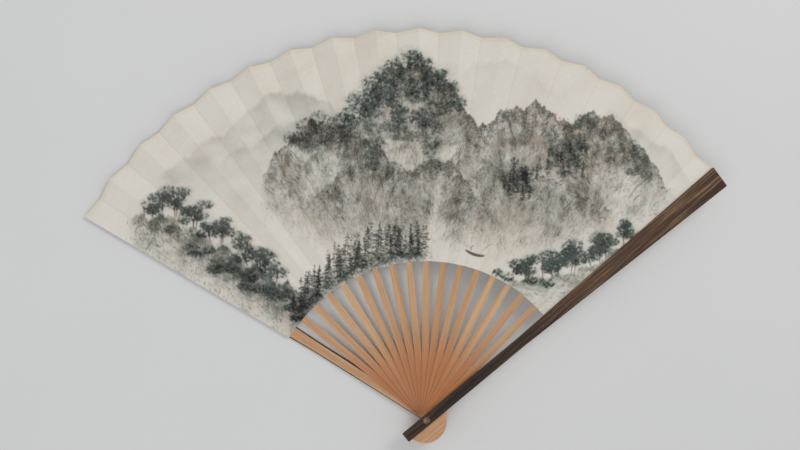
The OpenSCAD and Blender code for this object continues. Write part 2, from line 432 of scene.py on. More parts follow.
def bamboo_finish(name, light, dark, dashes):
    """Split bamboo: long fibres, short dark vessel dashes, a tone for each stick, and rounded edges paled by
    wear and by a painted highlight.
    """
    f = Finish(name)
    grain = f.read("grain")
    tone = f.read("tone")
    fibres = f.noise(f.stretch(grain, (9.0, 900.0, 900.0)), 1.0, 6.0, 0.62)
    broad = f.noise(f.stretch(grain, (5.0, 210.0, 210.0)), 1.0, 3.0, 0.5)
    vessels = f.noise(f.stretch(grain, (150.0, 3600.0, 3600.0)), 1.0, 2.0, 0.5)
    shade = f.blend(f.span(fibres, 0.36, 0.66, 0.75, 0.0), light, dark)
    shade = f.blend(f.span(broad, 0.35, 0.7, 0.0, 0.5), shade, dark)
    shade = f.blend(f.span(vessels, 0.60, 0.70, 0.0, dashes), shade, dark, "MULTIPLY")
    shade = f.blend(f.part(tone, "X"), shade, dark, "MULTIPLY")
    ruddy = tuple(a * b for a, b in zip(dark, (0.86, 0.47, 0.22)))
    shade = f.blend(f.part(tone, "Y"), shade, ruddy)
    # Wear and painted highlight: tone Z pales the rounded edges.
    pale = tuple(min(1.0, c * 1.35) for c in light)
    shade = f.blend(f.part(tone, "Z"), shade, pale)
    rough = f.sum("ADD", f.span(fibres, 0.3, 0.7, 0.50, 0.36), f.span(vessels, 0.6, 0.7, 0.0, 0.18))
    height = f.sum("SUBTRACT", fibres, f.sum("MULTIPLY", f.span(vessels, 0.58, 0.7), 0.6))
    return f.done(Base_Color=shade, Roughness=rough, Normal=f.bump(height, 0.00008, 0.55),
                  Specular_IOR_Level=0.45, Coat_Weight=0.08, Coat_Roughness=0.3)


def facing_finish(sticks):
    """Dark streaked wood: fine light and dark bands along the strip, open pores and a waxed sheen."""
    f = Finish("streaked_dark_wood")
    grain = f.read("grain")
    tone = f.read("tone")
    wander = f.noise(f.stretch(grain, (14.0, 30.0, 30.0)), 1.0, 2.0, 0.5)
    sway = f.span(wander, 0.2, 0.8, -0.0016, 0.0016)
    bent = f.node("ShaderNodeCombineXYZ", X=0.0, Y=sway, Z=0.0).outputs[0]
    line = f.node("ShaderNodeVectorMath", {"operation": "ADD"})
    f.put(line.inputs[0], grain)
    f.put(line.inputs[1], bent)
    along = line.outputs[0]
    streaks = f.noise(f.stretch(along, (11.0, 620.0, 620.0)), 1.0, 5.0, 0.6)
    fine = f.noise(f.stretch(along, (34.0, 2400.0, 2400.0)), 1.0, 4.0, 0.6)
    pores = f.noise(f.stretch(along, (210.0, 4200.0, 4200.0)), 1.0, 2.0, 0.5)
    shade = f.blend(f.span(streaks, 0.44, 0.64, 0.0, 0.9), sticks.facing, sticks.facing_light)
    shade = f.blend(f.span(fine, 0.45, 0.65, 0.0, 0.5), shade, tuple(c * 0.45 for c in sticks.facing))
    shade = f.blend(f.span(pores, 0.60, 0.68, 0.0, 0.85), shade, tuple(c * 0.22 for c in sticks.facing))
    shade = f.blend(f.part(tone, "X"), shade, sticks.facing, "MULTIPLY")
    # Wear and painted highlight: tone Z lightens the rounded edges.
    shade = f.blend(f.part(tone, "Z"), shade, tuple(min(1.0, c * 1.25) for c in sticks.facing_light))
    rough = f.sum("ADD", f.span(fine, 0.3, 0.7, 0.38, 0.52), f.span(pores, 0.58, 0.68, 0.0, 0.2))
    height = f.sum("SUBTRACT", f.sum("MULTIPLY", fine, 0.6), f.span(pores, 0.58, 0.68))
    return f.done(Base_Color=shade, Roughness=rough, Normal=f.bump(height, 0.00009, 0.6),
                  Specular_IOR_Level=0.28, Coat_Weight=0.03, Coat_Roughness=0.3)


def horn_finish(rivet):
    """Polished horn: cloudy veins in a warm brown, with fine turning scratches."""
    f = Finish("polished_horn")
    at = f.node("ShaderNodeTexCoord").outputs["Object"]
    veins = f.noise(f.stretch(at, (260.0, 900.0, 400.0)), 1.0, 5.0, 0.6)
    specks = f.noise(at, 2600.0, 3.0, 0.6)
    shade = f.blend(f.span(veins, 0.4, 0.62), rivet.horn, rivet.horn_dark)
    shade = f.blend(f.span(specks, 0.58, 0.7, 0.0, 0.4), shade, tuple(min(1.0, c * 1.8) for c in rivet.horn))
    scratches = f.noise(f.stretch(at, (5200.0, 700.0, 700.0)), 1.0, 2.0, 0.5)
    return f.done(Base_Color=shade, Roughness=f.span(scratches, 0.3, 0.7, 0.2, 0.34),
                  Normal=f.bump(scratches, 0.00002, 0.4), Specular_IOR_Level=0.55, Coat_Weight=0.3,
                  Coat_Roughness=0.12)


def floor_finish(stage):
    """A plain pale floor, faintly mottled."""
    f = Finish("pale_floor")
    at = f.node("ShaderNodeTexCoord").outputs["Object"]
    mottle = f.noise(at, 7.0, 3.0, 0.5)
    shade = f.blend(f.span(mottle, 0.3, 0.7, 0.0, 0.04), stage.floor_colour, (0.5, 0.5, 0.5))
    return f.done(Base_Color=shade, Roughness=0.85, Specular_IOR_Level=0.2)


# ---------------------------------------------------------------- the landscape

INK = (0.09, 0.10, 0.10)
BROWN_INK = (0.17, 0.14, 0.11)
MIST = (0.62, 0.64, 0.65)
GREY = (0.42, 0.43, 0.42)
UMBER = (0.50, 0.40, 0.29)
GREEN = (0.32, 0.40, 0.34)
DEEP = (0.16, 0.21, 0.19)
TEAL = (0.20, 0.40, 0.37)
RED = (0.74, 0.26, 0.18)
PAINT_LEFT, PAINT_RIGHT, PAINT_LOW, PAINT_HIGH = -280.0, 280.0, 60.0, 330.0


class Landscape:
    """Ink and colour on a grid in millimetres from the rivet. Each cell holds the share of light that the
    paint lets through, and every coat multiplies it, as thin paint over paper does."""

    def __init__(self, seed, cell):
        self.cell = cell
        self.wide = int((PAINT_RIGHT - PAINT_LEFT) / cell)
        self.high = int((PAINT_HIGH - PAINT_LOW) / cell)
        self.x = (PAINT_LEFT + (np.arange(self.wide) + 0.5) * cell)[None, :]
        self.y = (PAINT_LOW + (np.arange(self.high) + 0.5) * cell)[:, None]
        self.chance = np.random.default_rng(seed)
        self.paint = np.ones((self.high, self.wide, 3), np.float32)
        self.wave_x = np.fft.rfftfreq(self.wide, cell)[None, :]
        self.wave_y = np.fft.fftfreq(self.high, cell)[:, None]

    def cloud(self, size_x, size_y, fall=1.7):
        """Soft blots from 0 to 1: white noise whose spectrum is divided by
        (1 + (size * frequency) ** 2) ** fall."""
        white = self.chance.standard_normal((self.high, self.wide))
        reach = (self.wave_x * size_x) ** 2 + (self.wave_y * size_y) ** 2
        field = np.fft.irfft2(np.fft.rfft2(white) / (1.0 + reach) ** fall, s=(self.high, self.wide))
        return 0.5 + 0.5 * np.tanh(0.9 * (field - field.mean()) / field.std())

    def lift(self, cover):
        """Takes paint away where cover is above 0, as mist left between one range and the next."""
        self.paint += cover[..., None].astype(np.float32) * (1.0 - self.paint)

    def coat(self, cover, tint):
        """Lays a coat of a colour where cover is above 0."""
        self.paint *= 1.0 - cover[..., None].astype(np.float32) * (1.0 - np.array(tint, np.float32))

    def dabs(self, x, y, radius, load):
        """Cover of round soft dabs, 1 - exp(-sum of load * exp(-(distance / radius) ** 2))."""
        at_x = (x - PAINT_LEFT) / self.cell - 0.5
        at_y = (y - PAINT_LOW) / self.cell - 0.5
        base_x = np.round(at_x).astype(int)
        base_y = np.round(at_y).astype(int)
        reach = int(np.ceil(1.9 * np.max(radius) / self.cell))
        step = np.arange(-reach, reach + 1)
        total = np.zeros(self.high * self.wide)
        for dx, dy in np.stack(np.meshgrid(step, step), -1).reshape(-1, 2):
            px = base_x + dx
            py = base_y + dy
            away = ((px - at_x) ** 2 + (py - at_y) ** 2) * self.cell ** 2
            weight = load * np.exp(-away / radius ** 2)
            kept = (px >= 0) & (px < self.wide) & (py >= 0) & (py < self.high) & (weight > 0.01)
            total += np.bincount(py[kept] * self.wide + px[kept], weight[kept], minlength=total.size)
        return 1.0 - np.exp(-total.reshape(self.high, self.wide))

    def strokes(self, x, y, angle, size, bend, width, load, steps=14):
        """Cover of curved strokes: each starts at x, y, turns by bend over its length and thins at both
        ends."""
        share = (np.arange(steps) + 0.5) / steps
        heading = angle[:, None] + bend[:, None] * (share[None, :] - 0.5)
        step = (size / steps)[:, None]
        px = x[:, None] + np.cumsum(np.cos(heading) * step, 1)
        py = y[:, None] + np.cumsum(np.sin(heading) * step, 1)
        body = np.sin(np.pi * (0.08 + 0.84 * share)) ** 0.6
        radius = np.maximum(width[:, None] * body[None, :], 0.22)
        ink = load[:, None] * (0.5 + 0.5 * body[None, :]) * np.minimum(1.0, step / radius * 1.3)
        return self.dabs(px.ravel(), py.ravel(), radius.ravel(), ink.ravel())

    def look(self, field, x, y):
        """The field's value in the cells that hold the points."""
        column = np.clip(((x - PAINT_LEFT) / self.cell).astype(int), 0, self.wide - 1)
        row = np.clip(((y - PAINT_LOW) / self.cell).astype(int), 0, self.high - 1)
        return field[row, column]

    def scatter(self, density, count):
        """Random points, as close together as the density says."""
        heap = np.cumsum(density.ravel())
        row, column = np.divmod(np.searchsorted(heap, self.chance.random(count) * heap[-1]), self.wide)
        x = PAINT_LEFT + (column + self.chance.random(count)) * self.cell
        return x, PAINT_LOW + (row + self.chance.random(count)) * self.cell

    def waver(self, size, wave):
        """A wavering line over x: five sines, each 1.9 times as short and 1.7 times as low as the last."""
        total = np.zeros_like(self.x)
        for n in range(5):
            total += np.sin(self.x * 6.28 / (wave / 1.9 ** n) + self.chance.random() * 6.28) * size / 1.7 ** n
        return total

    def take(self, u, v):
        """The paint at points in millimetres, blended evenly between the four nearest cells."""
        at_x = np.clip((u - PAINT_LEFT) / self.cell - 0.5, 0, self.wide - 1.001)
        at_y = np.clip((v - PAINT_LOW) / self.cell - 0.5, 0, self.high - 1.001)
        column = at_x.astype(int)
        row = at_y.astype(int)
        right = (at_x - column)[..., None]
        up = (at_y - row)[..., None]
        low = mix(self.paint[row, column], self.paint[row, column + 1], right)
        high = mix(self.paint[row + 1, column], self.paint[row + 1, column + 1], right)
        return mix(low, high, up)


def ridge_line(x, points):
    """Height of a ridge over x: a cubic through placed points, level with their mean slopes."""
    px, py = np.array(points, float).T
    slope = np.gradient(py, px)
    n = np.clip(np.searchsorted(px, x) - 1, 0, len(px) - 2)
    run = px[n + 1] - px[n]
    t = np.clip((x - px[n]) / run, 0.0, 1.0)
    rise = py[n] * (1 + 2 * t) * (1 - t) ** 2 + py[n + 1] * t * t * (3 - 2 * t)
    return rise + run * (slope[n] * t * (1 - t) ** 2 + slope[n + 1] * t * t * (t - 1))


def far_hills(land):
    """Pale hills that fade downwards into mist."""
    hills = (
        (((-222, 190), (-196, 208), (-168, 226), (-140, 250), (-112, 264), (-88, 256), (-62, 240),
          (-40, 222)), 34, 0.30),
        (((-176, 200), (-146, 218), (-116, 236), (-92, 232), (-66, 214), (-50, 200)), 26, 0.24),
        (((14, 270), (34, 286), (56, 293), (78, 284), (100, 270), (122, 258)), 22, 0.15),
        (((116, 236), (142, 250), (168, 242), (192, 226), (214, 206), (230, 186)), 34, 0.20),
        (((150, 176), (176, 190), (200, 186), (224, 168), (240, 152)), 24, 0.16),
    )
    for points, fade, strength in hills:
        top = ridge_line(land.x, points) + land.waver(2.2, 46)
        first, last = points[0][0], points[-1][0]
        ends = smooth(first, first + 26, land.x) * (1 - smooth(last - 30, last, land.x))
        depth = top - land.y
        cover = smooth(-1.5, 3.0, depth) * np.exp(-np.maximum(depth, 0) / fade) * ends
        land.coat(cover * strength * (0.5 + 1.0 * land.cloud(30, 22)), MIST if strength < 0.2 else GREY)


def peak(land, points, foot, rough, strength):
    """How much of a mountain covers each cell, and the depth under its ridge."""
    top = ridge_line(land.x, points) + land.waver(rough, 27)
    first, last = points[0][0], points[-1][0]
    depth = top - land.y
    low = ridge_line(land.x, foot) + land.waver(4.0, 44)
    body = smooth(-0.6, 1.8, depth) * smooth(-20, 22, land.y - low)
    ends = smooth(first - 2, first + 12, land.x) * (1 - smooth(last - 14, last + 2, land.x))
    return body * ends * strength, depth


def mountains(land):
    """The main mountain, in three ranges one behind another, worked over with texture strokes."""
    ranges = (
        (((-64, 232), (-50, 262), (-34, 279), (-14, 288), (6, 282), (22, 262), (40, 238), (52, 214)),
         ((-64, 196), (-20, 182), (14, 186), (52, 196)), 2.4, 0.95),
        (((-134, 196), (-120, 214), (-104, 232), (-86, 239), (-68, 234), (-50, 226), (-28, 206), (-8, 188)),
         ((-134, 176), (-100, 158), (-60, 154), (-8, 166)), 2.6, 1.0),
        (((26, 214), (44, 240), (64, 251), (86, 257), (108, 246), (126, 226), (140, 206)),
         ((26, 180), (60, 158), (100, 156), (140, 170)), 2.6, 1.0),
        (((98, 214), (118, 240), (136, 251), (156, 244), (174, 226), (190, 206), (204, 188)),
         ((98, 184), (140, 166), (170, 172), (204, 178)), 2.4, 0.9),
        (((-96, 176), (-70, 200), (-44, 214), (-20, 204), (-4, 186), (8, 168)),
         ((-96, 158), (-50, 146), (-20, 150), (8, 158)), 2.4, 0.8),
        (((12, 172), (28, 192), (52, 208), (80, 202), (112, 190), (136, 178), (156, 168)),
         ((12, 156), (60, 146), (100, 148), (156, 160)), 2.4, 0.75),
        (((-30, 172), (-16, 196), (-4, 208), (12, 212), (26, 200), (40, 182), (50, 168)),
         ((-30, 158), (-4, 152), (24, 152), (50, 158)), 2.4, 0.7),
    )
    chance = land.chance
    aside = (land.x - 6 - 0.14 * (land.y - 170)) / 4.5
    gap = 1 - 0.8 * np.exp(-(aside ** 2)) * (1 - smooth(184, 232, land.y))
    for points, foot, rough, strength in ranges:
        tone, depth = peak(land, points, foot, rough, strength)
        land.lift(0.86 * tone)
        tone = tone * gap * (0.45 + 0.55 * np.exp(-np.maximum(depth, 0) / 46))
        folds = land.cloud(8, 26, 1.4)
        clumps = land.cloud(15, 15, 1.5)
        land.coat(tone * (0.20 + 0.7 * folds * clumps + 0.12 * clumps), GREY)
        land.coat(tone * 0.42 * smooth(0.3, 0.8, land.cloud(24, 26)), UMBER)
        land.coat(tone * 0.35 * smooth(0.52, 0.72, land.cloud(3.2, 6.5, 1.3)), GREY)
        land.coat(tone * 0.26 * smooth(0.45, 0.85, land.cloud(20, 22)) * np.exp(-np.maximum(depth, 0) / 40),
                  GREEN)
        land.coat(tone * 0.20 * smooth(0.6, 0.9, land.cloud(14, 14)), TEAL)
        edge = np.exp(-((depth - 0.6) / 0.9) ** 2) * tone
        land.coat(edge * (0.15 + 0.5 * smooth(0.45, 0.7, land.cloud(9, 9))), BROWN_INK)
        slope = np.gradient(ridge_line(land.x[0], points), land.cell)
        veins(land, tone, folds, slope, int(105 * strength))
        count = int(3000 * strength)
        x, y = land.scatter(tone * (0.06 + folds * clumps), count)
        lean = -np.pi / 2 + np.arctan(np.interp(x, land.x[0], slope)) * 0.8 + chance.normal(0, 0.45, count)
        cover = land.strokes(x, y, lean, chance.uniform(1.4, 5.0, count), chance.normal(0, 0.9, count),
                             np.full(count, 0.26), chance.uniform(0.08, 0.5, count), 8)
        land.coat(0.85 * cover, BROWN_INK)
        count = int(900 * strength)
        x, y = land.scatter(tone * smooth(0.5, 0.8, land.cloud(14, 16)), count)
        land.coat(0.5 * land.dabs(x, y, chance.uniform(0.3, 0.9, count), chance.uniform(0.2, 0.8, count)),
                  UMBER)
        x, y = land.scatter(tone * np.exp(-np.maximum(depth, 0) / 7), count)
        land.coat(0.75 * land.dabs(x, y, chance.uniform(0.28, 0.6, count), chance.uniform(0.3, 1.2, count)),
                  INK)


def veins(land, tone, folds, slope, count):
    """Creases of rock: long bent strokes down the slope, with short ones leaving both sides of each."""
    chance = land.chance
    x, y = land.scatter(tone * (0.3 + folds), count)
    size = chance.uniform(7, 24, count)
    lean = -np.pi / 2 + np.arctan(np.interp(x, land.x[0], slope)) * 0.75 + chance.normal(0, 0.3, count)
    bend = chance.normal(0, 0.8, count)
    cover = land.strokes(x, y, lean, size, bend, chance.uniform(0.22, 0.42, count),
                         chance.uniform(0.25, 0.8, count), 34)
    land.coat(0.8 * tone ** 0.5 * cover, INK)
    twigs = 20
    share = np.tile((np.arange(twigs) + 0.5) / twigs, count)
    lean, bend, size, x, y = (np.repeat(value, twigs) for value in (lean, bend, size, x, y))
    heading = lean + bend * (share * 0.5 - 0.25)
    x = x + np.cos(heading) * size * share
    y = y + np.sin(heading) * size * share
    side = np.where(chance.random(len(x)) < 0.5, -1, 1)
    load = chance.uniform(0.04, 0.34, len(x)) * land.look(tone, x, y)
    cover = land.strokes(x, y, lean + side * chance.uniform(0.3, 0.9, len(x)),
                         chance.uniform(1.4, 5.0, len(x)) * (1 - 0.4 * share),
                         chance.normal(0, 0.7, len(x)), np.full(len(x), 0.27), load, 8)
    land.coat(0.85 * cover, BROWN_INK)


def leafage(land, x, y, wide, tall, dots, dark, tint):
    """Crowns of trees: a soft wash, bunched dots that are darkest low down, and touches of teal."""
    chance = land.chance
    shape = np.zeros((land.high, land.wide))
    for cx, cy, rx, ry in zip(x, y, wide, tall):
        shape = np.maximum(shape, np.exp(-(((land.x - cx) / rx) ** 2 + ((land.y - cy) / ry) ** 2) ** 1.6))
    soft = np.clip(shape * (0.5 + 0.8 * land.cloud(5, 4, 1.2)), 0, 1)
    land.coat(soft * 0.62 * dark * (0.45 + 0.75 * land.cloud(7, 6, 1.3)), DEEP)
    land.coat(soft * tint * smooth(0.45, 0.8, land.cloud(8, 7, 1.3)), TEAL)
    tree = chance.integers(0, len(x), dots)
    around = chance.random(dots) * 2 * np.pi
    out = np.sqrt(chance.random(dots))
    px = x[tree] + wide[tree] * out * np.cos(around)
    py = y[tree] + tall[tree] * out * np.sin(around)
    lower = (y[tree] - py) / tall[tree]
    kept = land.look(land.cloud(3.2, 2.4, 1.3), px, py) + 0.22 * lower > 0.47
    px = px[kept]
    py = py[kept]
    count = len(px)
    cover = land.dabs(px, py, chance.uniform(0.28, 0.72, count), chance.uniform(0.2, 1.4, count))
    land.coat(0.96 * dark * cover, INK)
    some = slice(0, count // 4)
    cover = land.dabs(px[some] + 0.4, py[some] + 0.5, chance.uniform(0.3, 0.7, count // 4),
                      chance.uniform(0.3, 1.2, count // 4))
    land.lift(0.5 * tint * cover)
    land.coat(np.minimum(1.2 * tint, 1.0) * cover, TEAL)


def trunks(land, x, y, tall):
    """Leaning trunks, each with a few side branches."""
    chance = land.chance
    count = len(x)
    lean = chance.normal(0, 0.15, count)
    cover = land.strokes(x, y, np.pi / 2 + lean, tall, chance.normal(0, 0.35, count), np.full(count, 0.5),
                         np.full(count, 1.6), 26)
    land.coat(0.85 * cover, BROWN_INK)
    x, y, tall, lean = (np.repeat(value, 5) for value in (x, y, tall, lean))
    share = chance.uniform(0.35, 0.9, len(x))
    side = np.where(chance.random(len(x)) < 0.5, -1, 1)
    cover = land.strokes(x - np.sin(lean) * tall * share, y + tall * share,
                         np.pi / 2 + side * chance.uniform(0.5, 1.1, len(x)),
                         tall * chance.uniform(0.15, 0.35, len(x)), -side * 0.5, np.full(len(x), 0.26),
                         np.full(len(x), 0.9), 12)
    land.coat(0.7 * cover, BROWN_INK)


def conifers(land, x, y, tall):
    """Pointed conifers: a thin trunk and rows of needles that widen downwards."""
    chance = land.chance
    count = len(x)
    cover = land.strokes(x, y, np.full(count, np.pi / 2), tall, chance.normal(0, 0.08, count),
                         np.full(count, 0.3), np.full(count, 1.2), 30)
    land.coat(0.8 * cover, INK)
    rows = 24
    share = np.tile((np.arange(rows) + 0.5) / rows, count) + chance.normal(0, 0.012, count * rows)
    share = np.clip(share, 0.0, 1.0)
    x, y, tall = (np.repeat(value, rows) for value in (x, y, tall))
    half = (0.03 + 0.19 * (1 - share) ** 0.8) * tall * chance.uniform(0.35, 1.35, len(x))
    for side in (-1.0, 1.0):
        kept = (share > 0.1) & (chance.random(len(x)) < 0.78)
        angle = (0.0 if side > 0 else np.pi) + side * chance.normal(-0.42, 0.2, kept.sum())
        cover = land.strokes(x[kept], (y + tall * share)[kept], angle, half[kept],
                             side * np.full(kept.sum(), 0.5), chance.uniform(0.24, 0.44, kept.sum()),
                             chance.uniform(0.4, 1.4, kept.sum()), 9)
        land.coat(0.85 * cover, INK)


def rocks(land, x, y, size):
    """Rocks: an arched outline and short creases down from it."""
    chance = land.chance
    count = len(x)
    cover = land.strokes(x - size, y, np.full(count, 1.15), size * 2.2, np.full(count, -2.3),
                         chance.uniform(0.22, 0.36, count), chance.uniform(0.4, 1.0, count), 24)
    land.coat(0.7 * cover, INK)
    x, y, size = (np.repeat(value, 7) for value in (x, y, size))
    share = chance.uniform(-0.7, 0.7, len(x))
    cover = land.strokes(x + size * share, y + size * 0.8 * (1 - share ** 2), -np.pi / 2 + 0.5 * share,
                         size * chance.uniform(0.3, 0.8, len(x)), chance.normal(0, 0.5, len(x)),
                         np.full(len(x), 0.25), chance.uniform(0.2, 0.7, len(x)), 9)
    land.coat(0.55 * cover, INK)


def woods(land):
    """The wooded top of the main mountain, and the pines and bushes on its shoulders."""
    chance = land.chance
    x = np.array([-54, -45, -36, -26, -16, -6, 4, 14, -40, -22, -4, 20, -62, -48, -30, -10, 10, -24, -6.0])
    y = np.array([256, 268, 276, 284, 289, 286, 278, 268, 262, 272, 270, 256, 244, 250, 258, 262, 254, 246,
                  244.0])
    leafage(land, x, y, chance.uniform(8, 13, 19), chance.uniform(6, 9.5, 19), 9000, 1.0, 0.8)
    x = np.array([-108, -98, -88, -79, -70, -84, -72, -62, -96.0])
    y = np.array([226, 234, 240, 236, 240, 226, 228, 232, 222.0])
    leafage(land, x, y, chance.uniform(7, 11, 9), chance.uniform(5, 8, 9), 2600, 0.85, 0.3)
    x = chance.uniform(-58, 10, 18)
    leafage(land, x, chance.uniform(200, 242, 18), chance.uniform(5, 10, 18), chance.uniform(4, 8, 18),
            2600, 0.7, 0.45)
    x = np.sort(chance.uniform(60, 134, 24))
    y = 192 + 24 * chance.random(24) + 8 * np.sin(x / 17)
    conifers(land, x, y - 8, chance.uniform(12, 22, 24))
    leafage(land, x, y + 2, np.full(24, 5.0), np.full(24, 4.0), 1700, 0.75, 0.4)
    x = chance.uniform(100, 178, 20)
    y = 240 - 0.5 * np.abs(x - 126) + chance.uniform(-16, 6, 20)
    leafage(land, x, y, chance.uniform(4, 9, 20), chance.uniform(3, 6, 20), 2600, 0.7, 0.35)
    x = chance.uniform(84, 132, 26)
    y = chance.uniform(232, 250, 26)
    land.coat(0.9 * land.dabs(x, y, chance.uniform(0.5, 1.1, 26), chance.uniform(0.8, 1.8, 26)), RED)


def left_bank(land):
    """A rocky bank that falls from the outer left to the inner edge, with a line of trees along it."""
    chance = land.chance
    points = ((-238, 160), (-214, 164), (-190, 154), (-160, 136), (-130, 118), (-104, 104), (-84, 100),
              (-60, 98))
    bank = ridge_line(land.x, points) + land.waver(2.6, 24)
    under = bank - land.y
    ends = smooth(-240, -222, land.x) * (1 - smooth(-92, -66, land.x))
    ground = smooth(-0.5, 2.5, under) * np.exp(-np.maximum(under, 0) / 22) * ends
    land.coat(ground * (0.35 + 0.65 * land.cloud(12, 9, 1.4)), GREY)
    land.coat(ground * 0.55 * smooth(0.45, 0.85, land.cloud(14, 12)), UMBER)
    land.coat(ground * 0.6 * smooth(0.5, 0.85, land.cloud(12, 10)), TEAL)
    heart = np.exp(-((under - 14) / 12) ** 2) * smooth(-214, -150, land.x) * (1 - smooth(-112, -78, land.x))
    land.coat(heart * (0.35 + 0.6 * land.cloud(9, 7, 1.4)), DEEP)
    x = -226 + 134 * chance.random(54) + chance.normal(0, 4, 54)
    y = np.interp(x, land.x[0], bank[0]) - chance.uniform(2, 26, 54)
    rocks(land, x, y, chance.uniform(2, 5.5, 54))
    for heading, size in ((-0.6, 6.5), (-1.6, 4.0)):
        x, y = land.scatter(ground * (0.15 + land.cloud(8, 8)), 1300)
        cover = land.strokes(x, y, heading + chance.normal(0, 0.45, 1300), chance.uniform(1.5, size, 1300),
                             chance.normal(0, 0.6, 1300), np.full(1300, 0.27),
                             chance.uniform(0.1, 0.75, 1300), 9)
        land.coat(0.75 * cover, INK)
    x = np.linspace(-216, -122, 14) + chance.normal(0, 3.0, 14)
    y = np.interp(x, land.x[0], bank[0]) - 1
    tall = chance.uniform(9, 19, 14)
    trunks(land, x, y, tall)
    heights = np.array([0.7, 0.95, 1.2, 0.85])
    px = (x[None, :] + chance.normal(0, 3.4, (4, 14))).ravel()
    py = (y[None, :] + tall[None, :] * heights[:, None]).ravel()
    leafage(land, px, py, chance.uniform(5, 9.5, 56), chance.uniform(3.0, 5.4, 56), 9500, 0.95, 0.4)
    x = np.linspace(-196, -100, 16) + chance.normal(0, 4, 16)
    y = np.interp(x, land.x[0], bank[0]) - chance.uniform(8, 22, 16)
    leafage(land, x, y, chance.uniform(4, 8, 16), chance.uniform(2.4, 4.5, 16), 2400, 0.95, 0.8)


def pine_row(land):
    """A close row of conifers on low ground above the leaf's inner edge."""
    chance = land.chance
    ring = np.hypot(land.x, land.y) - 134
    strip = np.exp(-(ring / 6) ** 2) * smooth(-116, -96, land.x) * (1 - smooth(-10, 6, land.x))
    land.coat(strip * (0.4 + 0.6 * land.cloud(6, 5, 1.3)), DEEP)
    for base, shorter in ((140.0, 0.95), (133.0, 1.0)):
        x = np.linspace(-106, -4, 30) + chance.normal(0, 1.8, 30)
        y = np.sqrt(base ** 2 - x ** 2) + chance.uniform(-2, 3, 30)
        swell = 0.72 + 0.28 * np.sin((x + 106) / 102 * np.pi)
        conifers(land, x, y - 2, chance.uniform(16, 34, 30) * swell * shorter)
    x, y = land.scatter(strip, 1300)
    land.coat(0.8 * land.dabs(x, y, chance.uniform(0.25, 0.6, 1300), chance.uniform(0.3, 1.2, 1300)), INK)
    x, y = land.scatter(strip * land.cloud(9, 9), 500)
    land.coat(0.5 * land.dabs(x, y, chance.uniform(0.3, 0.7, 500), chance.uniform(0.3, 1.0, 500)), TEAL)


def river(land):
    """Falling water, ripples, a small boat, and a grove with rocks on the right-hand shore."""
    chance = land.chance
    one = np.ones(1)
    cover = land.strokes(chance.uniform(-4, 12, 36), chance.uniform(168, 212, 36),
                         -np.pi / 2 + chance.normal(0, 0.05, 36), chance.uniform(8, 26, 36),
                         chance.normal(0, 0.1, 36), np.full(36, 0.25), chance.uniform(0.2, 0.6, 36), 30)
    land.coat(0.3 * cover, GREY)
    cover = land.strokes(chance.uniform(14, 150, 70), chance.uniform(126, 156, 70),
                         chance.normal(0.06, 0.04, 70),
                         chance.uniform(6, 26, 70), chance.normal(0, 0.1, 70), np.full(70, 0.3),
                         chance.uniform(0.2, 0.6, 70), 30)
    land.coat(0.22 * cover, GREY)
    hull = land.strokes(31 * one, 137.6 * one, -0.3 * one, 17 * one, 0.75 * one, 0.75 * one, 2.2 * one, 50)
    land.coat(0.95 * hull, BROWN_INK)
    land.coat(0.8 * land.strokes(31.5 * one, 138.3 * one, -0.3 * one, 15 * one, 0.75 * one, 0.4 * one,
                                 one, 50), UMBER)
    land.coat(0.8 * land.strokes(36.5 * one, 137 * one, 1.2 * one, 5.2 * one, -2.4 * one, 0.5 * one,
                                 1.5 * one, 30), UMBER)
    land.coat(0.8 * land.strokes(44 * one, 136.5 * one, 0.62 * one, 11 * one, -0.1 * one, 0.28 * one,
                                 one, 30), INK)
    points = ((58, 113), (80, 115), (110, 118), (140, 128), (165, 146), (190, 160))
    shore = ridge_line(land.x, points) + land.waver(1.6, 22)
    under = shore - land.y
    ground = smooth(-0.5, 2.0, under) * np.exp(-np.maximum(under, 0) / 13)
    ground = ground * smooth(58, 74, land.x) * (1 - smooth(160, 190, land.x))
    land.coat(ground * (0.35 + 0.6 * land.cloud(9, 6, 1.4)), GREEN)
    land.coat(ground * 0.4 * smooth(0.5, 0.8, land.cloud(10, 8)), UMBER)
    x, y = land.scatter(ground * (0.2 + land.cloud(8, 8)), 900)
    cover = land.strokes(x, y, chance.normal(0.2, 0.5, 900), chance.uniform(1.5, 5, 900),
                         chance.normal(0, 0.6, 900), np.full(900, 0.27), chance.uniform(0.1, 0.7, 900), 9)
    land.coat(0.7 * cover, INK)
    x = np.linspace(78, 160, 11) + chance.normal(0, 3, 11)
    y = ridge_line(x, points) - 3
    tall = chance.uniform(11, 20, 11)
    trunks(land, x, y, tall)
    heights = np.array([0.65, 0.95, 1.2, 0.85])
    px = (x[None, :] + chance.normal(0, 3.4, (4, 11))).ravel()
    py = (y[None, :] + tall[None, :] * heights[:, None]).ravel()
    leafage(land, px, py, chance.uniform(5.5, 9.5, 44), chance.uniform(3.4, 5.8, 44), 8500, 1.0, 0.75)
    x = np.array([58.0, 66, 74, 86, 99])
    y = np.array([117.0, 114, 119, 111, 109])
    leafage(land, x, y + 2, np.array([4.5, 5.5, 4, 5, 6]), np.array([3.2, 3.6, 3, 3.4, 3.6]), 900, 1.0, 0.5)
    rocks(land, x, y - 2, np.array([4.0, 5, 3, 5, 6]))


def paint_landscape(settings):
    """The whole landscape, from the far hills to the near banks."""
    land = Landscape(settings.seed, settings.cell * 1000)
    far_hills(land)
    mountains(land)
    woods(land)
    left_bank(land)
    pine_row(land)
    river(land)
    return land


# ---------------------------------------------------------------- the leaf

def crease(k, side, radius):
    """Points on a crease of stick k's panel, the mountain where side is 1 and the valley where it is -1:
    straight from the rivet, at the panel's height plus side times the pleat's, in step with the radius."""
    angle = stick_angle(k) + side * HALF_PANEL
    base, half = pleat(k)
    height = base + side * half * radius / LEAF_PEAK
    return np.stack([radius * np.cos(angle), radius * np.sin(angle), height], -1)


